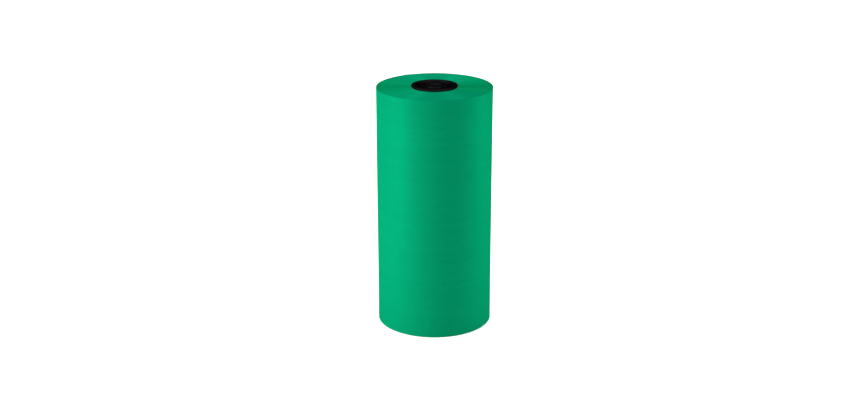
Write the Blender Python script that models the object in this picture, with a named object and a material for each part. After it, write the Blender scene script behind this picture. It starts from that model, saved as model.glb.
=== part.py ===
"""Counter roll of coloured paper, standing on end, with a push-in plug at each end of its core.

Run it with: blender --background --python part.py

Metres, +Z up along the roll. The origin is the centre of the paper's bottom end. Azimuths are in degrees,
anticlockwise from +X as seen from above. -Y is the front.
"""

import math

import bmesh
import bpy
from mathutils import Matrix, Vector

# Fit between pieces that touch or are glued on the real roll.
GAP = 0.0003

# Paper web. The last turn and the tail are thicker than one sheet, to be solids of their own.
PAPER_WIDTH = 0.4572
ROLL_RADIUS = 0.1080
TURN_THICKNESS = 0.0004
ROLL_STEPS = 144

# Tail: the loose end of the web, at the back left. The web runs anticlockwise out to it.
TAIL_EDGE_AZIMUTH = 121.8
TAIL_ARC = 30.0
TAIL_STEPS = 20
TAIL_LEVELS = 12
TAIL_TIP_LIFT = 0.0025
TAIL_FOOT_LIFT_SHARE = 0.45
TAIL_LIFTED_LENGTH = 0.025

# Core: a spirally wound paperboard tube of 3 inch bore, cut short by the thickness of the lower flange.
CORE_BORE_RADIUS = 0.0381
CORE_WALL = 0.0051
CORE_EDGE_BREAK = 0.0004
CORE_STEPS = 72

# Plug: flange on the core's end, sleeve down its bore, and a sunk web with the crossbar's hub in its middle.
FLANGE_RADIUS = 0.0432
FLANGE_THICKNESS = 0.0030
FLANGE_EDGE_BREAK = 0.0006
DISH_RADIUS = 0.0343
DISH_DEPTH = 0.0110
SLEEVE_RADIUS = 0.0372
SLEEVE_LENGTH = 0.0300
SLEEVE_LEAD_IN = 0.0012
WEB_THICKNESS = 0.0025
HUB_BORE_RADIUS = 0.0130
HUB_RADIUS = 0.0170
HUB_SINK = 0.0010
HUB_LENGTH = 0.0260
HUB_EDGE_BREAK = 0.0008
PLUG_STEPS = 60

# Ribs of the plug.
WEB_RIBS = 6
WEB_RIB_THICKNESS = 0.0020
WEB_RIB_SINK = 0.0050
WEB_RIB_DEPTH = 0.0180
GRIP_RIBS = 12
GRIP_RIB_WIDTH = 0.0020
GRIP_RIB_HEIGHT = 0.0006
GRIP_RIB_LENGTH = 0.0220
GRIP_RIB_START = 0.0030
RIB_ROOT = 0.0008

# Tapes.
START_TAPE_THICKNESS = 0.0003
START_TAPE_ARC = 32.5
START_TAPE_AZIMUTH = 20.0
START_TAPE_MARGIN = 0.0100
SEAL_TAPE_THICKNESS = 0.0003
SEAL_TAPE_LENGTH = 0.0700
SEAL_TAPE_WIDTH = 0.0500
SEAL_TAPE_STEPS = 16

# Sizes that follow from the ones above.
CORE_RADIUS = CORE_BORE_RADIUS + CORE_WALL
WOUND_BORE_RADIUS = CORE_RADIUS + GAP
TURN_BORE_RADIUS = ROLL_RADIUS - TURN_THICKNESS
WOUND_RADIUS = TURN_BORE_RADIUS - GAP
TAIL_ROOT_AZIMUTH = TAIL_EDGE_AZIMUTH - TAIL_ARC
LOWER_SEAT = FLANGE_THICKNESS + GAP
CORE_BOTTOM = LOWER_SEAT + GAP
UPPER_SEAT = PAPER_WIDTH + GAP
DISH_FLOOR = FLANGE_THICKNESS - DISH_DEPTH
WEB_UNDERSIDE = DISH_FLOOR - WEB_THICKNESS
HUB_TOP = FLANGE_THICKNESS - HUB_SINK
HUB_BOTTOM = HUB_TOP - HUB_LENGTH
WEB_RIB_TOP = FLANGE_THICKNESS - WEB_RIB_SINK

GREEN_PAPER = (0.004, 0.370, 0.165, 1.0)
CORE_BOARD = (0.330, 0.215, 0.120, 1.0)
BLACK_PLASTIC = (0.012, 0.012, 0.014, 1.0)
BUFF_TAPE = (0.600, 0.450, 0.270, 1.0)
WHITE_TAPE = (0.750, 0.740, 0.700, 1.0)


def clear_scene():
    """Removes whatever the scene holds."""
    for old in list(bpy.data.objects):
        bpy.data.objects.remove(old, do_unlink=True)


def principled(name, colour, roughness, metallic=0.0):
    """A plain Principled material of one colour."""
    material = bpy.data.materials.new(name)
    material.use_nodes = True
    shader = material.node_tree.nodes["Principled BSDF"]
    shader.inputs["Base Color"].default_value = colour
    shader.inputs["Roughness"].default_value = roughness
    shader.inputs["Metallic"].default_value = metallic
    material.diffuse_color = colour
    return material


def on_circle(radius, azimuth, height=0.0):
    """The point at this radius, azimuth in degrees and height."""
    turn = math.radians(azimuth)
    return Vector((radius * math.cos(turn), radius * math.sin(turn), height))


def spread(first, last, steps):
    """Evenly spaced values from first to last, both included."""
    return [first + (last - first) * i / steps for i in range(steps + 1)]


def arc_degrees(length, radius):
    """The angle that an arc of this length covers."""
    return math.degrees(length / radius)


def object_of(name, form, material, smooth_below=35.0):
    """An object in the scene holding this bmesh, its round faces shaded smooth."""
    bmesh.ops.recalc_face_normals(form, faces=form.faces)
    mesh = bpy.data.meshes.new(name)
    form.to_mesh(mesh)
    form.free()
    mesh.shade_smooth()
    mesh.set_sharp_from_angle(angle=math.radians(smooth_below))
    mesh.materials.append(material)
    made = bpy.data.objects.new(name, mesh)
    bpy.context.scene.collection.objects.link(made)
    return made


def loft(loops, hollow_from=None):
    """A closed body through these loops of points, stacked in order. The first and the last are its ends.

    With hollow_from, each loop is an outer outline followed by an inner one, and the second starts at that index.
    """
    form = bmesh.new()
    rings = [[form.verts.new(point) for point in loop] for loop in loops]
    count = len(loops[0])
    outlines = [range(count)] if hollow_from is None else [range(hollow_from), range(hollow_from, count)]
    for lower, upper in zip(rings, rings[1:]):
        for outline in outlines:
            for i in outline:
                j = outline[(i - outline[0] + 1) % len(outline)]
                form.faces.new((lower[i], lower[j], upper[j], upper[i]))
    for ring in (rings[0], rings[-1]):
        if hollow_from is None:
            half = count // 2
            for i in range(half - 1):
                form.faces.new((ring[i], ring[i + 1], ring[count - 2 - i], ring[count - 1 - i]))
        else:
            for i in range(hollow_from):
                j = (i + 1) % hollow_from
                form.faces.new((ring[i], ring[j], ring[hollow_from + j], ring[hollow_from + i]))
    return form


def turned(profile, steps):
    """A body turned round Z from a closed profile of (radius, height) points."""
    form = bmesh.new()
    corners = [form.verts.new((radius, 0.0, height)) for radius, height in profile]
    outline = [form.edges.new((corners[i - 1], corners[i])) for i in range(len(corners))]
    bmesh.ops.spin(
        form, geom=corners + outline, cent=(0, 0, 0), axis=(0, 0, 1),
        angle=math.tau, steps=steps, use_merge=True, use_duplicate=False,
    )
    bmesh.ops.remove_doubles(form, verts=form.verts, dist=1e-6)
    return form


def curved_strip(inner_radius, outer_radius, azimuths, heights, lift=None):
    """A thin strip bent round Z. lift(azimuth, height), if given, moves it outwards by that much there."""
    loops = []
    for height in heights:
        raised = [lift(azimuth, height) if lift else 0.0 for azimuth in azimuths]
        outer = [on_circle(outer_radius + up, a, height) for a, up in zip(azimuths, raised)]
        inner = [on_circle(inner_radius + up, a, height) for a, up in zip(azimuths, raised)]
        loops.append(outer + inner[::-1])
    return loft(loops)


def wound_paper(material):
    """All the turns under the last one. Its bore has a shallow pocket along it for the tape that starts the web."""
    pocket_depth = START_TAPE_THICKNESS + GAP
    pocket_half_arc = START_TAPE_ARC / 2 + 360.0 / ROLL_STEPS
    azimuths = [360.0 * i / ROLL_STEPS for i in range(ROLL_STEPS)]
    bore_radii = [
        WOUND_BORE_RADIUS + (pocket_depth if abs(a - START_TAPE_AZIMUTH) <= pocket_half_arc else 0.0)
        for a in azimuths
    ]
    loops = []
    for height in (0.0, PAPER_WIDTH):
        outer = [on_circle(WOUND_RADIUS, a, height) for a in azimuths]
        inner = [on_circle(radius, a, height) for radius, a in zip(bore_radii, azimuths)]
        loops.append(outer + inner)
    return object_of("wound_paper", loft(loops, hollow_from=ROLL_STEPS), material)


def outer_turn(material):
    """The last full turn of the web, as far as the root of the tail."""
    joint_gap = arc_degrees(GAP, ROLL_RADIUS)
    start = TAIL_EDGE_AZIMUTH - 360.0 + joint_gap
    end = TAIL_ROOT_AZIMUTH - joint_gap
    grid = 360.0 / ROLL_STEPS
    first_step = math.floor(start / grid) + 1
    last_step = math.ceil(end / grid) - 1
    azimuths = [start] + [grid * i for i in range(first_step, last_step + 1)] + [end]
    strip = curved_strip(TURN_BORE_RADIUS, ROLL_RADIUS, azimuths, (0.0, PAPER_WIDTH))
    return object_of("outer_turn", strip, material)


def tail_lift(azimuth, height):
    """How far the tail stands off the roll. It springs away at its tip, but not at the seal tape, half way up."""
    back_from_tip = math.radians(TAIL_EDGE_AZIMUTH - azimuth) * ROLL_RADIUS
    along = max(0.0, 1.0 - back_from_tip / TAIL_LIFTED_LENGTH)
    from_middle = 2.0 * height / PAPER_WIDTH - 1.0
    share = from_middle**2 * (1.0 if from_middle > 0.0 else TAIL_FOOT_LIFT_SHARE)
    return TAIL_TIP_LIFT * along**2 * share


def paper_tail(material, hinge):
    """The loose end of the web. It swings out on the upright line at its root."""
    azimuths = spread(TAIL_ROOT_AZIMUTH, TAIL_EDGE_AZIMUTH, TAIL_STEPS)
    heights = spread(0.0, PAPER_WIDTH, TAIL_LEVELS)
    strip = curved_strip(TURN_BORE_RADIUS, ROLL_RADIUS, azimuths, heights, tail_lift)
    return hung_on(hinge, object_of("paper_tail", strip, material))


def seal_tape(material, hinge):
    """The strip that holds the tail down half way up the roll. It stays on the tail when the tail is lifted."""
    half_arc = arc_degrees(SEAL_TAPE_LENGTH / 2, ROLL_RADIUS)
    azimuths = spread(TAIL_EDGE_AZIMUTH - half_arc, TAIL_EDGE_AZIMUTH + half_arc, SEAL_TAPE_STEPS)
    bottom = (PAPER_WIDTH - SEAL_TAPE_WIDTH) / 2
    inner = ROLL_RADIUS + GAP
    strip = curved_strip(inner, inner + SEAL_TAPE_THICKNESS, azimuths, (bottom, bottom + SEAL_TAPE_WIDTH))
    return hung_on(hinge, object_of("seal_tape", strip, material))


def start_tape(material):
    """The strip along the core that the first turn of the web is stuck down with."""
    half_arc = START_TAPE_ARC / 2
    azimuths = spread(START_TAPE_AZIMUTH - half_arc, START_TAPE_AZIMUTH + half_arc, SEAL_TAPE_STEPS)
    heights = (START_TAPE_MARGIN, PAPER_WIDTH - START_TAPE_MARGIN)
    strip = curved_strip(WOUND_BORE_RADIUS, WOUND_BORE_RADIUS + START_TAPE_THICKNESS, azimuths, heights)
    return object_of("start_tape", strip, material)


def core_tube(material):
    """The paperboard tube that the web is wound on."""
    edge = CORE_EDGE_BREAK
    profile = [
        (CORE_BORE_RADIUS, CORE_BOTTOM + edge),
        (CORE_BORE_RADIUS + edge, CORE_BOTTOM),
        (CORE_RADIUS - edge, CORE_BOTTOM),
        (CORE_RADIUS, CORE_BOTTOM + edge),
        (CORE_RADIUS, PAPER_WIDTH - edge),
        (CORE_RADIUS - edge, PAPER_WIDTH),
        (CORE_BORE_RADIUS + edge, PAPER_WIDTH),
        (CORE_BORE_RADIUS, PAPER_WIDTH - edge),
    ]
    return object_of("core_tube", turned(profile, CORE_STEPS), material)


def plug_profile():
    """The plug's section, as (radius, height) with height 0 on the core's end and up out of the core."""
    edge = FLANGE_EDGE_BREAK
    return [
        (HUB_BORE_RADIUS + HUB_EDGE_BREAK, HUB_TOP),
        (HUB_RADIUS - HUB_EDGE_BREAK, HUB_TOP),
        (HUB_RADIUS, HUB_TOP - HUB_EDGE_BREAK),
        (HUB_RADIUS, DISH_FLOOR),
        (DISH_RADIUS, DISH_FLOOR),
        (DISH_RADIUS, FLANGE_THICKNESS - edge),
        (DISH_RADIUS + edge, FLANGE_THICKNESS),
        (FLANGE_RADIUS - edge, FLANGE_THICKNESS),
        (FLANGE_RADIUS, FLANGE_THICKNESS - edge),
        (FLANGE_RADIUS, 0.0),
        (SLEEVE_RADIUS, 0.0),
        (SLEEVE_RADIUS, SLEEVE_LEAD_IN - SLEEVE_LENGTH),
        (SLEEVE_RADIUS - SLEEVE_LEAD_IN, -SLEEVE_LENGTH),
        (DISH_RADIUS, -SLEEVE_LENGTH),
        (DISH_RADIUS, WEB_UNDERSIDE),
        (HUB_RADIUS, WEB_UNDERSIDE),
        (HUB_RADIUS, HUB_BOTTOM),
        (HUB_BORE_RADIUS, HUB_BOTTOM),
        (HUB_BORE_RADIUS, HUB_TOP - HUB_EDGE_BREAK),
    ]


def block(form, low, high, azimuth):
    """Adds a box to the bmesh, from corner low to corner high, then turned to this azimuth."""
    size = Vector(high) - Vector(low)
    centre = (Vector(high) + Vector(low)) / 2
    place = Matrix.Rotation(math.radians(azimuth), 4, "Z") @ Matrix.Translation(centre)
    bmesh.ops.create_cube(form, size=1.0, matrix=place @ Matrix.Diagonal((*size, 1.0)))


def rib_block(form, inner, outer, width, bottom, top, azimuth):
    """Adds one rib that runs outwards from radius inner to radius outer."""
    block(form, (inner, -width / 2, bottom), (outer, width / 2, top), azimuth)


def plug_ribs(name):
    """A plug's ribs as one helper object, which the plug's Boolean joins to it."""
    form = bmesh.new()
    for i in range(WEB_RIBS):
        rib_block(
            form, HUB_RADIUS - RIB_ROOT, DISH_RADIUS + RIB_ROOT, WEB_RIB_THICKNESS,
            WEB_RIB_TOP - WEB_RIB_DEPTH, WEB_RIB_TOP, 360.0 * (i + 0.5) / WEB_RIBS,
        )
    for i in range(GRIP_RIBS):
        rib_block(
            form, SLEEVE_RADIUS - RIB_ROOT, SLEEVE_RADIUS + GRIP_RIB_HEIGHT, GRIP_RIB_WIDTH,
            -GRIP_RIB_START - GRIP_RIB_LENGTH, -GRIP_RIB_START, 360.0 * (i + 0.5) / GRIP_RIBS,
        )
    ribs = bpy.data.objects.new(name, bpy.data.meshes.new(name))
    form.to_mesh(ribs.data)
    form.free()
    bpy.context.scene.collection.objects.link(ribs)
    ribs.hide_render = True
    ribs.display_type = "WIRE"
    return ribs


def core_plug(name, material, seat, upside_down):
    """A moulded plug with its flange on the core's end at height seat."""
    made = object_of(name, turned(plug_profile(), PLUG_STEPS), material)
    ribs = plug_ribs(name + "_rib_shapes")
    for placed in (made, ribs):
        placed.location.z = seat
        placed.rotation_euler.x = math.pi if upside_down else 0.0
    union = made.modifiers.new("ribs", "BOOLEAN")
    union.operation = "UNION"
    union.solver = "EXACT"
    union.object = ribs
    return made


def hinge_at_tail_root():
    """The upright line that the tail swings on, as an empty at its foot."""
    hinge = bpy.data.objects.new("tail_hinge", None)
    hinge.location = on_circle(ROLL_RADIUS, TAIL_ROOT_AZIMUTH)
    bpy.context.scene.collection.objects.link(hinge)
    return hinge


def hung_on(hinge, piece):
    """Parents a piece to the hinge and leaves it where it is."""
    piece.parent = hinge
    piece.matrix_parent_inverse = Matrix.Translation(hinge.location).inverted()
    return piece


def main():
    """Builds the roll."""
    clear_scene()
    paper = principled("green_paper", GREEN_PAPER, 0.85)
    board = principled("core_board", CORE_BOARD, 0.90)
    plastic = principled("plug_plastic", BLACK_PLASTIC, 0.45)
    buff = principled("seal_tape", BUFF_TAPE, 0.60)
    white = principled("start_tape", WHITE_TAPE, 0.70)
    wound_paper(paper)
    outer_turn(paper)
    hinge = hinge_at_tail_root()
    paper_tail(paper, hinge)
    seal_tape(buff, hinge)
    core_tube(board)
    start_tape(white)
    core_plug("top_core_plug", plastic, UPPER_SEAT, upside_down=False)
    core_plug("bottom_core_plug", plastic, LOWER_SEAT, upside_down=True)


if __name__ == "__main__":
    main()
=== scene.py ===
"""The looks of an upright roll of green backdrop paper, on a board core with a black plug in each end."""
import logging
import math
import random
from collections.abc import Callable, Iterable
from dataclasses import dataclass
from enum import Enum

import bmesh
import bpy
from mathutils import Matrix, Vector


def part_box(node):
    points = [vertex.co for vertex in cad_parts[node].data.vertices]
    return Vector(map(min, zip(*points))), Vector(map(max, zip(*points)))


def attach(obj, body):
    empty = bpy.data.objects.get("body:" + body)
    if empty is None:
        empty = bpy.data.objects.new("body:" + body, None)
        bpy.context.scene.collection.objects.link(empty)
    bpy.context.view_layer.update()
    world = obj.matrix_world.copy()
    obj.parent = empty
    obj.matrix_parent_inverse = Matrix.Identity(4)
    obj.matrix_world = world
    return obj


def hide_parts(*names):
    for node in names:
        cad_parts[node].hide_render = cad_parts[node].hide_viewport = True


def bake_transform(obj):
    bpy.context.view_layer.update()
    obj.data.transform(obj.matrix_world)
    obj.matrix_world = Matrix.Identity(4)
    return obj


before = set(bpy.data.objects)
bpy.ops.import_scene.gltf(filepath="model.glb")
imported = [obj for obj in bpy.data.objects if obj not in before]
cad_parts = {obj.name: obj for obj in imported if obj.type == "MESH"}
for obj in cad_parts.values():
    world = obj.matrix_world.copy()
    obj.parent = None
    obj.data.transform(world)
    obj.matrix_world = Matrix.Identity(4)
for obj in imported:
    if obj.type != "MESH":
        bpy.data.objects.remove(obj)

log = logging.getLogger("paper_roll")

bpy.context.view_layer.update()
MM = 0.001
ROLL_BODY = "roll"
SMOOTH_UNDER = math.radians(30.0)
SAME_POINT_WITHIN = 1e-6
SAME_RADIUS_WITHIN = 0.05 * MM
SAME_HEIGHT_WITHIN = 0.02 * MM
FACES_ALONG = 0.9
NOISE_ROUGHNESS = 0.55
# Where a mix node keeps its colours.
FIRST_COLOUR, SECOND_COLOUR, MIXED_COLOUR = 6, 7, 2

Triple = tuple[float, float, float]
Colour = tuple[float, float, float]
Span = tuple[float, float]


# ---------------------------------------------------------------- materials


class Coordinates(Enum):
    """Where a pattern takes its place from."""

    SOLID = "Object"
    SHEET = "UV"


class Recipe:
    """A material while its nodes are being put together."""

    def __init__(self, name: str) -> None:
        """Starts a material that has its surface shader and nothing else.

        Args:
            name: The material's name.
        """
        self.material = bpy.data.materials.new(name)
        self.material.use_nodes = True
        self.tree = self.material.node_tree
        self.surface = self.tree.nodes["Principled BSDF"]

    def node(self, kind: str, inputs: dict | None = None, **settings: object) -> bpy.types.Node:
        """Adds one node, sets it up and feeds it.

        Args:
            kind: The node's type.
            inputs: What goes into each input, by name or number: an output to join, or a value.
            **settings: The node's own settings.

        Returns:
            The new node.
        """
        node = self.tree.nodes.new(kind)
        for setting, value in settings.items():
            setattr(node, setting, value)
        for key, value in (inputs or {}).items():
            self.feed(node.inputs[key], value)
        return node

    def feed(self, socket: bpy.types.NodeSocket, value: object) -> None:
        """Joins an output to an input, or sets the input's value.

        Args:
            socket: The input.
            value: An output, a number or a tuple of numbers.
        """
        if isinstance(value, bpy.types.NodeSocket):
            self.tree.links.new(value, socket)
        else:
            socket.default_value = value

    def place(self, source: Coordinates, scale: Triple = (1.0, 1.0, 1.0)) -> bpy.types.NodeSocket:
        """The place of a point in metres, stretched along each direction."""
        where = self.node("ShaderNodeTexCoord").outputs[source.value]
        return self.node("ShaderNodeMapping", {"Vector": where, "Scale": scale}).outputs["Vector"]

    def noise(
        self, where: bpy.types.NodeSocket, per_metre: float, detail: float = 2.0
    ) -> bpy.types.NodeSocket:
        """A cloudy pattern, about 0.5 on average, with so many patches to the metre."""
        inputs = {"Vector": where, "Scale": per_metre, "Detail": detail, "Roughness": NOISE_ROUGHNESS}
        return self.node("ShaderNodeTexNoise", inputs).outputs["Fac"]

    def maths(
        self, operation: str, first: object, second: object, third: object = 0.0
    ) -> bpy.types.NodeSocket:
        """One step of arithmetic on numbers or outputs."""
        return self.node("ShaderNodeMath", {0: first, 1: second, 2: third}, operation=operation).outputs[0]

    def shade(self, factor: bpy.types.NodeSocket, colour: Colour, spread: float) -> bpy.types.NodeSocket:
        """A colour that a pattern makes darker and lighter by a share of itself."""
        return self.blend(factor, scaled(colour, 1.0 - spread), scaled(colour, 1.0 + spread))

    def blend(self, factor: bpy.types.NodeSocket, first: Colour, second: Colour) -> bpy.types.NodeSocket:
        """A colour that goes from one to another.

        Args:
            factor: 0 for the first colour and 1 for the second.
            first: The first colour.
            second: The second colour.

        Returns:
            A colour output.
        """
        ramp = self.node("ShaderNodeValToRGB", {"Fac": factor})
        for stop, colour in zip(ramp.color_ramp.elements, (first, second)):
            stop.color = (*colour, 1.0)
        return ramp.outputs["Color"]

    def layer(
        self, base: bpy.types.NodeSocket, factor: bpy.types.NodeSocket, spread: float
    ) -> bpy.types.NodeSocket:
        """A colour output made darker and lighter again by a second pattern.

        Args:
            base: The colour so far.
            factor: The second pattern, about 0.5 on average.
            spread: How far it goes, as a share, at 0 and at 1.

        Returns:
            A colour output.
        """
        tone = self.blend(factor, (1.0 - spread,) * 3, (1.0 + spread,) * 3)
        return self.mix(1.0, base, tone, "MULTIPLY")

    def mix(self, factor: object, first: object, second: object, kind: str = "MIX") -> bpy.types.NodeSocket:
        """Two colours laid over each other, by a factor of 0 for the first and 1 for the second."""
        inputs = {"Factor": factor, FIRST_COLOUR: first, SECOND_COLOUR: second}
        return self.node("ShaderNodeMix", inputs, data_type="RGBA", blend_type=kind).outputs[MIXED_COLOUR]

    def vary(self, factor: bpy.types.NodeSocket, middle: float, spread: float) -> bpy.types.NodeSocket:
        """A number that a pattern moves to either side of its middle."""
        inputs = {"Value": factor, "To Min": middle - spread, "To Max": middle + spread}
        return self.node("ShaderNodeMapRange", inputs).outputs["Result"]

    def bump(
        self, height: bpy.types.NodeSocket, depth: float, under: bpy.types.NodeSocket | None = None
    ) -> bpy.types.NodeSocket:
        """A relief on the surface.

        Args:
            height: The relief's pattern, from 0 to 1.
            depth: How deep it is from 0 to 1, in metres.
            under: A relief that this one lies on.

        Returns:
            A normal output.
        """
        inputs = {"Height": height, "Distance": depth, "Strength": 1.0}
        if under is not None:
            inputs["Normal"] = under
        return self.node("ShaderNodeBump", inputs).outputs["Normal"]

    def finish(self, **inputs: object) -> bpy.types.Material:
        """Feeds the surface shader and hands over the material.

        Args:
            **inputs: What goes into each of its inputs, with _ for a space in its name.

        Returns:
            The finished material.
        """
        for key, value in inputs.items():
            self.feed(self.surface.inputs[key.replace("_", " ")], value)
        return self.material


def scaled(colour: Colour, share: float) -> Colour:
    """A colour made lighter or darker by a share."""
    return tuple(part * share for part in colour)


@dataclass(frozen=True)
class GreenPaper:
    """Matt dyed paper: fibre clouds, faint bands along the web, a fine tooth and a soft cockle."""

    name: str = "green_backdrop_paper"
    colour: Colour = (0.0005, 0.157, 0.070)
    edge_tint: Colour = (0.0, 0.157, 0.070)
    gloss_share: float = 0.15
    roughness: float = 0.55
    roughness_spread: float = 0.04
    clouds_per_metre: float = 90.0
    cloud_tone: float = 0.05
    fibres_per_metre: float = 900.0
    fibre_tone: float = 0.05
    bands_per_metre: Triple = (2.0, 115.0, 1.0)
    band_tone: float = 0.07
    cockle_stretch: Triple = (1.0, 0.5, 1.0)
    cockles_per_metre: float = 16.0
    cockle_depth: float = 0.8 * MM
    tooth_depth: float = 0.03 * MM

    def make(self) -> bpy.types.Material:
        """Builds the material."""
        recipe = Recipe(self.name)
        flat = recipe.place(Coordinates.SHEET)
        banded = recipe.place(Coordinates.SHEET, self.bands_per_metre)
        stretched = recipe.place(Coordinates.SHEET, self.cockle_stretch)
        clouds = recipe.noise(flat, self.clouds_per_metre, 3.0)
        fibre = recipe.noise(flat, self.fibres_per_metre, 3.0)
        colour = recipe.shade(clouds, self.colour, self.cloud_tone)
        colour = recipe.layer(colour, fibre, self.fibre_tone)
        colour = recipe.layer(colour, recipe.noise(banded, 1.0), self.band_tone)
        cockle = recipe.bump(recipe.noise(stretched, self.cockles_per_metre, 1.0), self.cockle_depth)
        return recipe.finish(
            Base_Color=colour,
            Metallic=self.gloss_share,
            Roughness=recipe.vary(fibre, self.roughness, self.roughness_spread),
            Specular_IOR_Level=0.0,
            Specular_Tint=(*self.edge_tint, 1.0),
            Normal=recipe.bump(fibre, self.tooth_depth, cockle),
        )


@dataclass(frozen=True)
class PaperEdges:
    """The end of a wound roll: the cut edges of its turns as fine rings, no two quite alike."""

    name: str = "wound_paper_edges"
    colour: Colour = (0.0008, 0.228, 0.107)
    edge_tint: Colour = (0.0, 0.228, 0.107)
    gloss_share: float = 0.42
    rings_per_metre: float = 1300.0
    ring_tone: float = 0.12
    ring_relief: float = 0.08 * MM
    fine_rings_in_broad: float = 8.0
    broad_ring_tone: float = 0.05
    drifts_per_metre: float = 14.0
    drift: float = 1.2 * MM
    grains_per_metre: float = 1100.0
    grain_tone: float = 0.06
    outward_slope: float = 0.34
    roughness: float = 0.58
    groove_spread: float = 0.95
    groove_turn: float = 0.25

    def make(self) -> bpy.types.Material:
        """Builds the material."""
        recipe = Recipe(self.name)
        solid = recipe.place(Coordinates.SOLID)
        across = recipe.node("ShaderNodeVectorMath", {0: solid, 1: (1.0, 1.0, 0.0)}, operation="MULTIPLY")
        length = recipe.node("ShaderNodeVectorMath", {0: across.outputs[0]}, operation="LENGTH")
        radius = length.outputs["Value"]
        drift = recipe.noise(solid, self.drifts_per_metre, 1.0)
        wandering = recipe.maths("MULTIPLY_ADD", drift, self.drift, radius)
        fine = self.rings(recipe, wandering, self.rings_per_metre)
        broad = self.rings(recipe, wandering, self.rings_per_metre / self.fine_rings_in_broad)
        colour = recipe.shade(fine, self.colour, self.ring_tone)
        colour = recipe.layer(colour, broad, self.broad_ring_tone)
        colour = recipe.layer(colour, recipe.noise(solid, self.grains_per_metre), self.grain_tone)
        fall = recipe.maths("MULTIPLY", radius, -self.outward_slope)
        relief = recipe.bump(fine, self.ring_relief, recipe.bump(fall, 1.0))
        return recipe.finish(
            Base_Color=colour,
            Metallic=self.gloss_share,
            Roughness=self.roughness,
            Specular_IOR_Level=0.0,
            Specular_Tint=(*self.edge_tint, 1.0),
            Anisotropic=self.groove_spread,
            Anisotropic_Rotation=self.groove_turn,
            Tangent=recipe.node("ShaderNodeTangent", direction_type="RADIAL", axis="Z").outputs["Tangent"],
            Normal=relief,
        )

    def rings(self, recipe: Recipe, radius: bpy.types.NodeSocket, per_metre: float) -> bpy.types.NodeSocket:
        """Rings of uneven tone about the middle, so many to a metre of radius."""
        inputs = {"W": radius, "Scale": per_metre, "Detail": 1.0, "Roughness": 0.5}
        return recipe.node("ShaderNodeTexNoise", inputs, noise_dimensions="1D").outputs["Fac"]


@dataclass(frozen=True)
class MouldedPlastic:
    """Black plastic from a mould with a fine sparked grain, slightly uneven in its gloss."""

    name: str = "black_moulded_plastic"
    colour: Colour = (0.0150, 0.0140, 0.0165)
    edge_tint: Colour = (0.110, 0.105, 0.110)
    gloss_share: float = 0.90
    roughness: float = 0.36
    roughness_spread: float = 0.08
    grains_per_metre: float = 2600.0
    grain_depth: float = 0.02 * MM
    flow_stretch: Triple = (1.0, 1.0, 0.4)
    flows_per_metre: float = 60.0
    flow_tone: float = 0.30

    def make(self) -> bpy.types.Material:
        """Builds the material."""
        recipe = Recipe(self.name)
        grain = recipe.noise(recipe.place(Coordinates.SOLID), self.grains_per_metre)
        flow = recipe.noise(recipe.place(Coordinates.SOLID, self.flow_stretch), self.flows_per_metre)
        return recipe.finish(
            Base_Color=recipe.shade(flow, self.colour, self.flow_tone),
            Metallic=self.gloss_share,
            Roughness=recipe.vary(flow, self.roughness, self.roughness_spread),
            Specular_IOR_Level=0.0,
            Specular_Tint=(*self.edge_tint, 1.0),
            Normal=recipe.bump(grain, self.grain_depth),
        )


@dataclass(frozen=True)
class CoreBoard:
    """Brown board wound in plies at a slant: a seam that climbs round the tube, and mixed fibres."""

    name: str = "spiral_core_board"
    colour: Colour = (0.170, 0.110, 0.062)
    seam_colour: Colour = (0.072, 0.045, 0.024)
    seam_rise: float = 0.110
    seam_share: float = 0.010
    seam_depth: float = 0.15 * MM
    clouds_per_metre: float = 70.0
    cloud_tone: float = 0.14
    fibre_stretch: Triple = (1.0, 1.0, 0.35)
    fibres_per_metre: float = 1400.0
    fibre_tone: float = 0.16
    fibre_depth: float = 0.04 * MM
    roughness: float = 0.78
    shine: float = 0.25

    def make(self) -> bpy.types.Material:
        """Builds the material."""
        recipe = Recipe(self.name)
        solid = recipe.place(Coordinates.SOLID)
        parts = recipe.node("ShaderNodeSeparateXYZ", {0: solid})
        angle = recipe.maths("ARCTAN2", parts.outputs["Y"], parts.outputs["X"])
        turns = recipe.maths("MULTIPLY", angle, 1.0 / math.tau)
        climb = recipe.maths("MULTIPLY_ADD", parts.outputs["Z"], 1.0 / self.seam_rise, turns)
        seam = recipe.maths("LESS_THAN", recipe.maths("FRACT", climb, 0.0), self.seam_share)
        clouds = recipe.noise(solid, self.clouds_per_metre, 4.0)
        stretched = recipe.place(Coordinates.SOLID, self.fibre_stretch)
        fibre = recipe.noise(stretched, self.fibres_per_metre, 3.0)
        colour = recipe.shade(clouds, self.colour, self.cloud_tone)
        colour = recipe.layer(colour, fibre, self.fibre_tone)
        groove = recipe.bump(recipe.maths("SUBTRACT", 1.0, seam), self.seam_depth)
        return recipe.finish(
            Base_Color=recipe.mix(seam, colour, (*self.seam_colour, 1.0)),
            Roughness=self.roughness,
            Specular_IOR_Level=self.shine,
            Normal=recipe.bump(fibre, self.fibre_depth, groove),
        )


@dataclass(frozen=True)
class CrepeTape:
    """Paper tape with fine creases across its length."""

    name: str
    colour: Colour
    coordinates: Coordinates
    across: Triple
    creases_per_metre: float = 1300.0
    crease_tone: float = 0.12
    crease_depth: float = 0.06 * MM
    clouds_per_metre: float = 80.0
    cloud_tone: float = 0.06
    roughness: float = 0.55
    shine: float = 0.35

    def make(self) -> bpy.types.Material:
        """Builds the material."""
        recipe = Recipe(self.name)
        crepe = recipe.noise(recipe.place(self.coordinates, self.across), self.creases_per_metre)
        clouds = recipe.noise(recipe.place(self.coordinates), self.clouds_per_metre, 3.0)
        colour = recipe.shade(clouds, self.colour, self.cloud_tone)
        return recipe.finish(
            Base_Color=recipe.layer(colour, crepe, self.crease_tone),
            Roughness=self.roughness,
            Specular_IOR_Level=self.shine,
            Normal=recipe.bump(crepe, self.crease_depth),
        )


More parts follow.
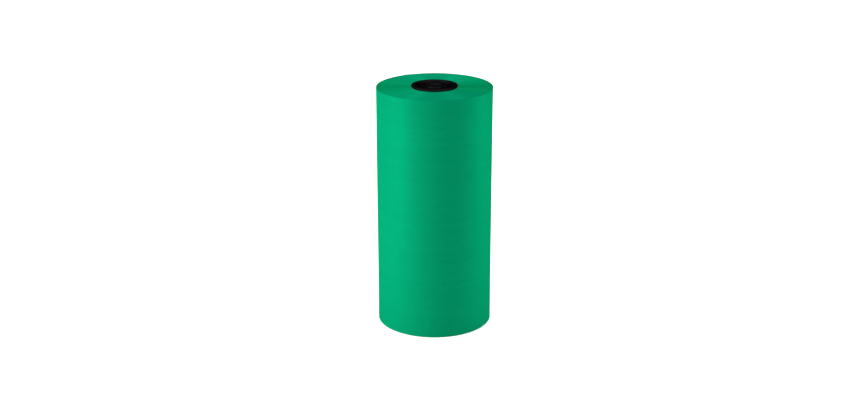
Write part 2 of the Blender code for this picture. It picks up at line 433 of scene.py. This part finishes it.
@dataclass(frozen=True)
class StudioFloor:
    """Matt white sweep under the object, with the faintest unevenness of a painted surface."""

    name: str = "white_floor"
    colour: Colour = (0.95, 0.95, 0.95)
    clouds_per_metre: float = 3.0
    cloud_tone: float = 0.01
    roughness: float = 0.9

    def make(self) -> bpy.types.Material:
        """Builds the material."""
        recipe = Recipe(self.name)
        clouds = recipe.noise(recipe.place(Coordinates.SOLID), self.clouds_per_metre)
        return recipe.finish(
            Base_Color=recipe.shade(clouds, self.colour, self.cloud_tone),
            Roughness=self.roughness,
            Specular_IOR_Level=0.0,
        )


# ---------------------------------------------------------------- modelling by hand


FaceTest = Callable[[Vector, Vector], bool]
EdgeTest = Callable[[Vector, Vector], bool]


class Piece:
    """A mesh on the bench. Its methods are the steps of shaping it in edit mode."""

    def __init__(self, name: str) -> None:
        """Takes the primitive that was just added, settles its place into its mesh and opens it for editing.

        Args:
            name: The piece's name.
        """
        self.obj = bpy.context.active_object
        self.obj.name = name
        self.obj.data.name = name
        bpy.ops.object.transform_apply(location=True, rotation=True, scale=True)
        bpy.ops.object.mode_set(mode="EDIT")
        bpy.ops.mesh.select_all(action="DESELECT")

    @classmethod
    def cylinder(cls, name: str, radius: float, heights: Span, sides: int) -> "Piece":
        """Starts from an upright cylinder on the roll's axis.

        Args:
            name: The piece's name.
            radius: Its radius in metres.
            heights: Where it starts and ends along Z.
            sides: How many faces go round it.

        Returns:
            The piece, in edit mode.
        """
        bpy.ops.object.select_all(action="DESELECT")
        low, high = heights
        bpy.ops.mesh.primitive_cylinder_add(
            vertices=sides, radius=radius, depth=high - low, location=(0.0, 0.0, (low + high) / 2.0)
        )
        return cls(name)

    @classmethod
    def block(cls, name: str, low: Vector, high: Vector) -> "Piece":
        """Starts from a box.

        Args:
            name: The piece's name.
            low: Its lowest corner.
            high: Its highest corner.

        Returns:
            The piece, in edit mode.
        """
        bpy.ops.object.select_all(action="DESELECT")
        bpy.ops.mesh.primitive_cube_add(size=1.0, location=(low + high) / 2.0, scale=high - low)
        return cls(name)

    def faces(self, test: FaceTest) -> "Piece":
        """Selects only the faces that pass a test.

        Args:
            test: Takes a face's middle and its normal.

        Returns:
            The piece itself.
        """
        bpy.ops.mesh.select_mode(type="FACE")
        bpy.ops.mesh.select_all(action="DESELECT")
        form = bmesh.from_edit_mesh(self.obj.data)
        for face in form.faces:
            face.select_set(test(face.calc_center_median(), face.normal))
        bmesh.update_edit_mesh(self.obj.data)
        return self

    def edges(self, test: EdgeTest) -> "Piece":
        """Selects only the edges that pass a test.

        Args:
            test: Takes an edge's two ends.

        Returns:
            The piece itself.
        """
        bpy.ops.mesh.select_mode(type="EDGE")
        bpy.ops.mesh.select_all(action="DESELECT")
        form = bmesh.from_edit_mesh(self.obj.data)
        for edge in form.edges:
            edge.select_set(test(edge.verts[0].co, edge.verts[1].co))
        bmesh.update_edit_mesh(self.obj.data)
        return self

    def cap(self, heading: float) -> "Piece":
        """Selects the end face that looks up (heading 1) or down (heading -1)."""
        return self.faces(lambda middle, normal: normal.z * heading > FACES_ALONG)

    def inset(self, width: float, rise: float = 0.0) -> "Piece":
        """Draws a smaller outline inside the selected face, and moves it out along the normal."""
        bpy.ops.mesh.inset(thickness=width, depth=rise)
        return self

    def pull(self, rise: float) -> "Piece":
        """Extrudes the selected face up by a height, or down where it is negative."""
        bpy.ops.mesh.extrude_region_move(TRANSFORM_OT_translate={"value": (0.0, 0.0, rise)})
        return self

    def widen(self, share: float) -> "Piece":
        """Scales the selected face about the roll's axis."""
        bpy.ops.transform.resize(value=(share, share, 1.0), center_override=(0.0, 0.0, 0.0))
        return self

    def remove_faces(self) -> "Piece":
        """Deletes the selected faces and keeps their edges."""
        bpy.ops.mesh.delete(type="ONLY_FACE")
        return self

    def bridge(self) -> "Piece":
        """Joins the two selected loops of edges with a wall."""
        bpy.ops.mesh.bridge_edge_loops()
        return self

    def bevel(self, width: float, steps: int = 3) -> "Piece":
        """Rounds the selected edges, over a width and in a number of steps."""
        bpy.ops.mesh.bevel(offset=width, offset_type="OFFSET", segments=steps, affect="EDGES")
        return self

    def round_rings(self, rings: Iterable[Span], width: float, steps: int = 3) -> "Piece":
        """Rounds every edge that runs round the axis at one of these places.

        Args:
            rings: Pairs of radius and height.
            width: The distance that the rounding takes from each edge.
            steps: How many faces it has.

        Returns:
            The piece itself.
        """
        wanted = list(rings)
        self.edges(lambda a, b: any(on_ring(a, *ring) and on_ring(b, *ring) for ring in wanted))
        return self.bevel(width, steps)

    def close(self) -> bpy.types.Object:
        """Leaves edit mode with doubles merged, faces outwards and only the sharp edges sharp.

        Returns:
            The finished object.
        """
        bpy.ops.mesh.select_all(action="SELECT")
        bpy.ops.mesh.remove_doubles(threshold=SAME_POINT_WITHIN)
        bpy.ops.mesh.normals_make_consistent(inside=False)
        bpy.ops.mesh.select_all(action="DESELECT")
        bpy.ops.object.mode_set(mode="OBJECT")
        smooth(self.obj)
        return self.obj


def on_circle(point: Vector, radius: float) -> bool:
    """Whether a point lies this far from the roll's axis."""
    return abs(math.hypot(point.x, point.y) - radius) < SAME_RADIUS_WITHIN


def on_ring(point: Vector, radius: float, height: float) -> bool:
    """Whether a point lies on the ring of this radius at this height."""
    return on_circle(point, radius) and abs(point.z - height) < SAME_HEIGHT_WITHIN


def place_at(azimuth: float, radius: float, height: float) -> Vector:
    """The point in a direction in degrees, at a distance from the axis and a height."""
    turn = math.radians(azimuth)
    return Vector((radius * math.cos(turn), radius * math.sin(turn), height))


def only(obj: bpy.types.Object) -> None:
    """Selects one object and makes it the active one."""
    bpy.ops.object.select_all(action="DESELECT")
    obj.select_set(True)
    bpy.context.view_layer.objects.active = obj


def smooth(obj: bpy.types.Object) -> None:
    """Shades an object smooth except at its corners."""
    only(obj)
    bpy.ops.object.shade_smooth_by_angle(angle=SMOOTH_UNDER)


def apply(obj: bpy.types.Object, kind: str, name: str, **settings: object) -> None:
    """Puts a modifier on an object and applies it.

    Args:
        obj: The object.
        kind: The modifier's type.
        name: Its name while it is there.
        **settings: The modifier's own settings.
    """
    only(obj)
    modifier = obj.modifiers.new(name, kind)
    for setting, value in settings.items():
        setattr(modifier, setting, value)
    bpy.ops.object.modifier_apply(modifier=name)


def join(objects: list[bpy.types.Object], name: str) -> bpy.types.Object:
    """Makes one object of several.

    Args:
        objects: The objects. They are used up.
        name: The new object's name.

    Returns:
        The joined object.
    """
    only(objects[0])
    for obj in objects:
        obj.select_set(True)
    bpy.ops.object.join()
    objects[0].name = name
    return objects[0]


def copy_turned(obj: bpy.types.Object, name: str, turn: float) -> bpy.types.Object:
    """A copy with a mesh of its own, turned about the roll's axis.

    Args:
        obj: The object to copy.
        name: The copy's name.
        turn: How far it is turned, in degrees.

    Returns:
        The copy.
    """
    twin = obj.copy()
    twin.data = obj.data.copy()
    twin.name = name
    bpy.context.scene.collection.objects.link(twin)
    twin.data.transform(Matrix.Rotation(math.radians(turn), 4, "Z"))
    return twin


def dress(obj: bpy.types.Object, material: bpy.types.Material) -> None:
    """Gives an object its finish.

    Args:
        obj: The object.
        material: The material.
    """
    obj.data.materials.clear()
    obj.data.materials.append(material)


# ---------------------------------------------------------------- the wound paper


@dataclass
class WoundPaper:
    """All the turns under the last one, as one ring with uneven layers on its two ends."""

    radius: float = 107.70 * MM
    mouth_radius: float = 43.30 * MM
    bore_radius: float = 43.90 * MM
    mouth_depth: float = 5.0 * MM
    sides: int = 180
    layers: int = 80
    unevenness: float = 0.12 * MM
    scatter: float = 0.25
    drift: float = 0.55
    rim_sink: float = 0.20 * MM
    seed: int = 7

    def build(self) -> bpy.types.Object:
        """Models the ring, dresses it and puts it on the roll.

        Returns:
            The finished piece.
        """
        low, high = (corner[2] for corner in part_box("wound_paper"))
        piece = Piece.cylinder("wound_turns", self.radius, (low, high), self.sides)
        draws = random.Random(self.seed)
        for heading in (1.0, -1.0):
            piece.cap(heading)
            self.lay_rings(piece, draws)
            piece.pull(-heading * self.mouth_depth).widen(self.bore_radius / self.mouth_radius).remove_faces()
        middle = (low + high) / 2.0
        depth = middle - low - self.mouth_depth + self.rim_sink / 2.0
        piece.edges(
            lambda a, b: on_circle(a, self.bore_radius)
            and on_circle(b, self.bore_radius)
            and max(abs(a.z - middle), abs(b.z - middle)) < depth
        )
        piece.bridge()
        ring = piece.close()
        dress(ring, PaperEdges().make())
        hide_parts("wound_paper")
        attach(ring, ROLL_BODY)
        return ring

    def lay_rings(self, piece: Piece, draws: random.Random) -> None:
        """Works inwards over the selected end face, one band of layers at a time.

        Args:
            piece: The piece, with the end face selected.
            draws: Where the heights are drawn from.
        """
        width = (self.radius - self.mouth_radius) / self.layers
        height = 0.0
        trend = -self.unevenness / 2.0
        for layer in range(self.layers):
            trend = self.drift * trend + (1.0 - self.drift) * draws.uniform(-self.unevenness, 0.0)
            sink = self.rim_sink * (1.0 - (layer + 1) / self.layers)
            step = draws.uniform(-self.scatter, self.scatter) * self.unevenness
            wanted = min(0.0, trend + step) - sink
            piece.inset(width, wanted - height)
            height = wanted


# ---------------------------------------------------------------- the loose end of the web


@dataclass
class OuterWeb:
    """The last turn of paper and its free end, which lies over the turn below and lifts at its corners."""

    first_radius: float = 107.74 * MM
    growth: float = 0.16 * MM
    thickness: float = 0.12 * MM
    start: float = -278.2
    root: float = 91.8
    tip: float = 121.8
    winding: float = 370.0
    tip_lift: float = 2.5 * MM
    foot_share: float = 0.45
    lifted_length: float = 25.0 * MM
    flare: float = 0.35 * MM
    flare_azimuth: float = -8.0
    flare_height: float = 16.0 * MM
    flare_narrowing: float = 1.5
    flare_all_round: float = 0.22
    flare_at_foot: float = 0.25
    ripple: float = 0.10 * MM
    ripple_middle: float = 1.7
    # Each wave's size, its number round the roll, its turn up the roll and its start.
    waves: tuple[tuple[float, float, float, float], ...] = (
        (1.0, 3.0, 4.1, 0.6),
        (0.7, 5.0, -6.3, 2.0),
    )
    rows: int = 44
    turn_columns: int = 370
    end_columns: int = 60
    blend_length: float = 25.0 * MM

    def __post_init__(self) -> None:
        """Reads the web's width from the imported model."""
        self.low, self.high = (corner[2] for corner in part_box("outer_turn"))
        self.width = self.high - self.low

    def inner_radius(self, azimuth: float) -> float:
        """The radius of the web's inner face along its winding, before it ripples."""
        return self.first_radius + self.growth * (azimuth - self.start) / self.winding

    def rippled(self, azimuth: float, height: float) -> float:
        """How far the last turns stand off from a true circle, the same for each turn there.

        Args:
            azimuth: The direction in degrees.
            height: The height in metres.

        Returns:
            A distance outwards in metres.
        """
        turn = math.radians(azimuth)
        share = (height - self.low) / self.width
        waves = sum(
            size * math.sin(around * turn + upwards * share + phase)
            for size, around, upwards, phase in self.waves
        )
        lean = max(0.0, math.cos(turn - math.radians(self.flare_azimuth))) ** self.flare_narrowing
        top = (self.flare_all_round + lean) * math.exp(-(self.high - height) / self.flare_height)
        foot = self.flare_at_foot * math.exp(-(height - self.low) / self.flare_height)
        return self.ripple * (self.ripple_middle + waves) + self.flare * (top + foot)

    def lifted(self, azimuth: float, height: float) -> float:
        """How far the free end stands off from the roll.

        Args:
            azimuth: The direction along the winding, in degrees.
            height: The height in metres.

        Returns:
            A distance outwards in metres.
        """
        back = math.radians(self.tip - azimuth) * self.first_radius
        along = max(0.0, 1.0 - back / self.lifted_length)
        from_middle = 2.0 * (height - self.low) / self.width - 1.0
        share = 1.0 if from_middle > 0.0 else self.foot_share
        return self.tip_lift * along**2 * from_middle**2 * share

    def point(self, azimuth: float, height: float) -> Vector:
        """A point on the web's inner face.

        Args:
            azimuth: The direction along the winding, in degrees.
            height: The height in metres.

        Returns:
            The point.
        """
        radius = self.inner_radius(azimuth) + self.rippled(azimuth, height)
        if azimuth > self.root:
            radius += self.lifted(azimuth, height)
        return place_at(azimuth, radius, height)

    def heights(self) -> list[float]:
        """The heights of the rows of points, closer together near the two edges."""
        shares = [(1.0 - math.cos(math.pi * row / self.rows)) / 2.0 for row in range(self.rows + 1)]
        return [self.low + self.width * share for share in shares]

    def sheet(self, name: str, span: Span, columns: int) -> bpy.types.Object:
        """Makes one stretch of the web as a sheet of its real thickness.

        Args:
            name: The sheet's name.
            span: Where it starts and ends along the winding, in degrees.
            columns: How many columns of faces it has.

        Returns:
            The sheet, with a UV map that gives each point its place on the flat web in metres.
        """
        first, last = span
        azimuths = [first + (last - first) * column / columns for column in range(columns + 1)]
        obj = surface(name, azimuths, self.heights(), self.point, self.along)
        apply(obj, "SOLIDIFY", "thickness", thickness=self.thickness, offset=1.0)
        smooth(obj)
        return obj

    def along(self, azimuth: float) -> float:
        """How far along the flat web a direction of the winding lies, in metres."""
        return math.radians(azimuth - self.start) * self.first_radius

    def build(self, paper: bpy.types.Material) -> list[bpy.types.Object]:
        """Makes the last turn and the free end, and puts the last turn on the roll's body.

        Args:
            paper: The web's finish.

        Returns:
            The two sheets.
        """
        turn = self.sheet("outer_sheet", (self.start, self.root), self.turn_columns)
        tail = self.sheet("free_end_sheet", (self.root, self.tip), self.end_columns)
        for sheet, node in ((turn, "outer_turn"), (tail, "paper_tail")):
            dress(sheet, paper)
            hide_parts(node)
        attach(turn, ROLL_BODY)
        self.along(self.root)
        self.hinge(tail)
        length = self.along(self.tip) - self.along(self.root)
        return [turn, tail]

    def hinge(self, obj: bpy.types.Object) -> None:
        """Settles a piece's place into its mesh."""
        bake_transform(obj)


def surface(
    name: str,
    azimuths: list[float],
    heights: list[float],
    point: Callable[[float, float], Vector],
    along: Callable[[float], float],
) -> bpy.types.Object:
    """A sheet of faces over rows and columns of points, facing out from the axis.

    Args:
        name: The object's name.
        azimuths: The columns.
        heights: The rows.
        point: Gives the place of a point by its column and row.
        along: Gives a column's place on the flat sheet, in metres.

    Returns:
        The object, with a UV map in metres.
    """
    points = [point(azimuth, height) for height in heights for azimuth in azimuths]
    step = len(azimuths)
    corners = [
        row * step + column for row in range(len(heights) - 1) for column in range(step - 1)
    ]
    faces = [(corner, corner + 1, corner + step + 1, corner + step) for corner in corners]
    mesh = bpy.data.meshes.new(name)
    mesh.from_pydata(points, [], faces)
    flat = mesh.uv_layers.new(name="flat_sheet")
    for loop in mesh.loops:
        row, column = divmod(loop.vertex_index, step)
        flat.data[loop.index].uv = (along(azimuths[column]), heights[row])
    mesh.update()
    obj = bpy.data.objects.new(name, mesh)
    bpy.context.scene.collection.objects.link(obj)
    return obj


@dataclass
class SealTape:
    """The strip that holds the free end down half way up, stuck half on it and half on the turn below."""

    web: OuterWeb
    length: float = 70.0 * MM
    width: float = 50.0 * MM
    clearance: float = 0.03 * MM
    thickness: float = 0.10 * MM
    step_start: float = 0.1 * MM
    step_down: float = 1.6 * MM
    half_columns: int = 40
    rows: int = 16
    colour: Colour = (0.330, 0.245, 0.145)
    crease_stretch: Triple = (1.0, 0.12, 1.0)

    def build(self) -> bpy.types.Object:
        """Makes the strip and puts it on the free end.

        Returns:
            The finished piece.
        """
        half = math.degrees(self.length / 2.0 / self.web.first_radius)
        columns = range(2 * self.half_columns + 1)
        azimuths = [self.web.tip - half + half * column / self.half_columns for column in columns]
        middle = (self.web.low + self.web.high) / 2.0
        heights = [middle + self.width * (row / self.rows - 0.5) for row in range(self.rows + 1)]
        strip = surface("seal_strip", azimuths, heights, self.point, self.web.along)
        apply(strip, "SOLIDIFY", "thickness", thickness=self.thickness, offset=1.0)
        smooth(strip)
        finish = CrepeTape("buff_crepe_tape", self.colour, Coordinates.SHEET, self.crease_stretch)
        dress(strip, finish.make())
        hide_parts("seal_tape")
        self.web.hinge(strip)
        return strip

    def point(self, azimuth: float, height: float) -> Vector:
        """A point on the strip's inner face, which steps down past the edge of the free end.

        Args:
            azimuth: The direction along the winding, in degrees.
            height: The height in metres.

        Returns:
            The point.
        """
        web = self.web
        past = math.radians(azimuth - web.tip) * web.first_radius
        drop = min(1.0, max(0.0, (past - self.step_start) / self.step_down))
        drop = drop * drop * (3.0 - 2.0 * drop)
        above = web.inner_radius(min(azimuth, web.tip)) + web.lifted(min(azimuth, web.tip), height)
        below = web.inner_radius(azimuth - 360.0)
        radius = above + (below - above) * drop + web.thickness + self.clearance
        radius += web.rippled(azimuth, height)
        return place_at(azimuth, radius, height)


# ---------------------------------------------------------------- the core


@dataclass
class Core:
    """The board tube that the web is wound on, and the tape that the first turn is stuck down with."""

    bore_radius: float = 38.1 * MM
    wall: float = 5.1 * MM
    end_sink: float = 0.5 * MM
    edge_break: float = 0.5 * MM
    sides: int = 160
    tape_colour: Colour = (0.400, 0.395, 0.375)
    crease_stretch: Triple = (1.0, 1.0, 0.12)

    def build(self) -> bpy.types.Object:
        """Models the tube, and dresses the tape that the CAD model already has.

        Returns:
            The tube.
        """
        radius = self.bore_radius + self.wall
        low, high = (corner[2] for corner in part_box("core_tube"))
        low, high = low + self.end_sink, high - self.end_sink
        piece = Piece.cylinder("board_tube", radius, (low, high), self.sides)
        for heading in (1.0, -1.0):
            piece.cap(heading).inset(self.wall).remove_faces()
        piece.edges(lambda a, b: on_circle(a, self.bore_radius) and on_circle(b, self.bore_radius))
        piece.bridge()
        rings = [(r, z) for r in (self.bore_radius, radius) for z in (low, high)]
        piece.round_rings(rings, self.edge_break, 2)
        tube = piece.close()
        dress(tube, CoreBoard().make())
        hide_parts("core_tube")
        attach(tube, ROLL_BODY)
        self.dress_tape(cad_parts["start_tape"])
        return tube

    def dress_tape(self, tape: bpy.types.Object) -> None:
        """Gives the tape along the core its finish."""
        finish = CrepeTape("white_crepe_tape", self.tape_colour, Coordinates.SOLID, self.crease_stretch)
        material = finish.make()
        for slot in tape.material_slots:
            slot.material = material


# ---------------------------------------------------------------- the plugs


@dataclass
class CorePlug:
    """A moulded plug: a flange over the core's end, a sleeve inside it, and a hub on a ribbed web."""

    flange_radius: float = 43.2 * MM
    flange: float = 3.0 * MM
    dish_radius: float = 34.3 * MM
    dish_depth: float = 11.0 * MM
    sleeve_radius: float = 37.2 * MM
    sleeve: float = 30.0 * MM
    web: float = 2.5 * MM
    hub_radius: float = 17.0 * MM
    bore_radius: float = 13.0 * MM
    hub_sink: float = 1.0 * MM
    hub_height: float = 26.0 * MM
    rib_width: float = 2.0 * MM
    rib_sink: float = 5.0 * MM
    rib_depth: float = 18.0 * MM
    ribs: int = 6
    first_rib: float = 30.0
    rib_in_hub: float = 1.5 * MM
    rib_in_sleeve: float = 1.2 * MM
    rib_rounding: float = 0.4 * MM
    grips: int = 12
    grip_width: float = 2.0 * MM
    grip_height: float = 0.6 * MM
    grip_length: float = 22.0 * MM
    grip_start: float = 3.0 * MM
    grip_root: float = 1.0 * MM
    grip_rounding: float = 0.35 * MM
    rounding: float = 0.7 * MM
    sides: int = 160

    def __post_init__(self) -> None:
        """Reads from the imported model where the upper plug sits."""
        self.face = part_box("top_core_plug")[1][2]
        self.seat = self.face - self.flange

    def build(self) -> list[bpy.types.Object]:
        """Models one plug, copies it for the other end and puts each on its body.

        Returns:
            The two plugs.
        """
        plastic = MouldedPlastic().make()
        top = self.mould("top_plug_moulding")
        bottom = copy_turned(top, "bottom_plug_moulding", 0.0)
        both_faces = self.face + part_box("bottom_core_plug")[0][2]
        middle = Matrix.Translation((0.0, 0.0, both_faces / 2.0))
        bottom.data.transform(middle @ Matrix.Rotation(math.pi, 4, "X") @ middle.inverted())
        for plug, node, body in (
            (top, "top_core_plug", "top_plug"),
            (bottom, "bottom_core_plug", "bottom_plug"),
        ):
            dress(plug, plastic)
            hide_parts(node)
            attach(plug, body)
        return [top, bottom]

    def mould(self, name: str) -> bpy.types.Object:
        """Models the plug for the top end.

        Args:
            name: The piece's name.

        Returns:
            The piece.
        """
        hub_top = self.face - self.hub_sink
        hub_foot = hub_top - self.hub_height
        dish_floor = self.face - self.dish_depth
        underside = dish_floor - self.web
        sleeve_end = self.seat - self.sleeve
        piece = Piece.cylinder(name, self.flange_radius, (self.seat, self.face), self.sides)
        piece.cap(1.0).inset(self.flange_radius - self.dish_radius).pull(-self.dish_depth)
        piece.inset(self.dish_radius - self.hub_radius).pull(hub_top - dish_floor)
        piece.inset(self.hub_radius - self.bore_radius).remove_faces()
        piece.cap(-1.0).inset(self.flange_radius - self.sleeve_radius).pull(-self.sleeve)
        piece.inset(self.sleeve_radius - self.dish_radius).pull(underside - sleeve_end)
        piece.inset(self.dish_radius - self.hub_radius).pull(hub_foot - underside)
        piece.inset(self.hub_radius - self.bore_radius).remove_faces()
        piece.edges(lambda a, b: on_circle(a, self.bore_radius) and on_circle(b, self.bore_radius))
        piece.bridge()
        piece.round_rings(
            [
                (self.flange_radius, self.face),
                (self.flange_radius, self.seat),
                (self.dish_radius, self.face),
                (self.hub_radius, hub_top),
                (self.bore_radius, hub_top),
                (self.sleeve_radius, sleeve_end),
            ],
            self.rounding,
        )
        body = piece.close()
        ribs = self.spokes() + self.grip_ribs()
        helper = join(ribs, "plug_ribs")
        apply(body, "BOOLEAN", "ribs", operation="UNION", solver="EXACT", object=helper)
        bpy.data.objects.remove(helper)
        smooth(body)
        return body

    def spokes(self) -> list[bpy.types.Object]:
        """The ribs between hub and sleeve, which stand above and below the web.

        Returns:
            The ribs, one object each.
        """
        top = self.face - self.rib_sink
        low = Vector((self.hub_radius - self.rib_in_hub, -self.rib_width / 2.0, top - self.rib_depth))
        high = Vector((self.dish_radius + self.rib_in_sleeve, self.rib_width / 2.0, top))
        piece = Piece.block("rib", low, high)
        piece.edges(lambda a, b: abs((a - b).x) > self.rib_width and abs((a - b).y) < self.rib_width)
        piece.bevel(self.rib_rounding, 2)
        first = piece.close()
        first.data.transform(Matrix.Rotation(math.radians(self.first_rib), 4, "Z"))
        step = 360.0 / self.ribs
        return [first] + [copy_turned(first, f"rib_{n}", n * step) for n in range(1, self.ribs)]

    def grip_ribs(self) -> list[bpy.types.Object]:
        """The low ribs along the sleeve that bite into the core.

        Returns:
            The ribs, one object each.
        """
        top = self.seat - self.grip_start
        low = Vector((self.sleeve_radius - self.grip_root, -self.grip_width / 2.0, top - self.grip_length))
        high = Vector((self.sleeve_radius + self.grip_height, self.grip_width / 2.0, top))
        piece = Piece.block("grip", low, high)
        piece.edges(lambda a, b: min(a.x, b.x) > self.sleeve_radius)
        piece.bevel(self.grip_rounding, 2)
        first = piece.close()
        step = 360.0 / self.grips
        return [first] + [copy_turned(first, f"grip_{n}", n * step) for n in range(1, self.grips)]


# ---------------------------------------------------------------- the studio


@dataclass(frozen=True)
class Lamp:
    """A soft square light that faces the middle of the roll."""

    azimuth: float
    elevation: float
    power: float
    distance: float = 2.2
    size: float = 1.2

    def set_up(self, number: int, aim: Vector) -> None:
        """Puts the light in the scene.

        Args:
            number: Its number, for its name.
            aim: The point that it faces.
        """
        turn = math.radians(self.azimuth)
        rise = math.radians(self.elevation)
        out = Vector((math.cos(rise) * math.sin(turn), -math.cos(rise) * math.cos(turn), math.sin(rise)))
        data = bpy.data.lights.new(f"soft_light_{number}", "AREA")
        data.shape = "SQUARE"
        data.size = self.size
        data.energy = self.power
        obj = bpy.data.objects.new(data.name, data)
        obj.location = aim + out * self.distance
        obj.rotation_euler = (-out).to_track_quat("-Z", "Y").to_euler()
        obj.visible_camera = False
        bpy.context.scene.collection.objects.link(obj)


@dataclass
class Studio:
    """The floor, the lights and the camera."""

    floor_size: float = 30.0
    floor_drop: float = 0.05 * MM
    room_strength: float = 1.05
    aim_height: float = 0.14
    camera_place: Triple = (-0.0083, -2.3922, 1.0418)
    camera_tilt: float = 18.83
    camera_lens: float = 55.67
    # Azimuth from the front, elevation, power, distance and size.
    lamps: tuple[Lamp, ...] = (
        Lamp(-150.0, 16.0, 15.0),
        Lamp(150.0, 18.0, 17.0),
        Lamp(-67.0, 2.0, 15.6, 1.1, 0.5),
        Lamp(96.0, 2.0, 10.7, 1.1, 0.5),
        Lamp(-110.0, 34.0, 9.0, size=0.9),
        Lamp(-66.0, 50.0, 14.5, size=0.9),
        Lamp(60.0, 50.0, 8.0, size=0.7),
    )

    def build(self) -> None:
        """Sets up everything round the object."""
        self.lay_floor()
        self.light_room()
        self.place_camera()

    def lay_floor(self) -> None:
        """Lays the pale floor just under the object."""
        bpy.ops.object.select_all(action="DESELECT")
        bpy.ops.mesh.primitive_plane_add(size=self.floor_size, location=(0.0, 0.0, -self.floor_drop))
        bpy.ops.object.transform_apply(location=True, rotation=True, scale=True)
        floor = bpy.context.active_object
        floor.name = "floor"
        floor.data.materials.append(StudioFloor().make())

    def light_room(self) -> None:
        """Puts up the lights in a bright room."""
        scene = bpy.context.scene
        world = bpy.data.worlds.new("bright_room")
        world.use_nodes = True
        background = world.node_tree.nodes["Background"]
        background.inputs["Color"].default_value = (1.0, 1.0, 1.0, 1.0)
        background.inputs["Strength"].default_value = self.room_strength
        scene.world = world
        for number, lamp in enumerate(self.lamps, 1):
            lamp.set_up(number, Vector((0.0, 0.0, self.aim_height)))
        scene.view_settings.view_transform = "Standard"
        scene.view_settings.look = "None"

    def place_camera(self) -> None:
        """Puts up the camera in front of the roll, looking down on it."""
        data = bpy.data.cameras.new("camera")
        data.lens = self.camera_lens
        camera = bpy.data.objects.new("camera", data)
        camera.location = self.camera_place
        camera.rotation_euler = (math.radians(90.0 - self.camera_tilt), 0.0, 0.0)
        bpy.context.scene.collection.objects.link(camera)
        bpy.context.scene.camera = camera


def main() -> None:
    """Builds the roll piece by piece, and the studio round it."""
    logging.basicConfig(level=logging.INFO, format="%(message)s")
    paper = GreenPaper().make()
    web = OuterWeb()
    pieces = [WoundPaper().build()]
    pieces += web.build(paper)
    pieces.append(SealTape(web).build())
    pieces.append(Core().build())
    pieces += CorePlug().build()
    for piece in pieces:
        log.info("made %s with %d faces", piece.name, len(piece.data.polygons))
    Studio().build()


if __name__ == "__main__":
    main()
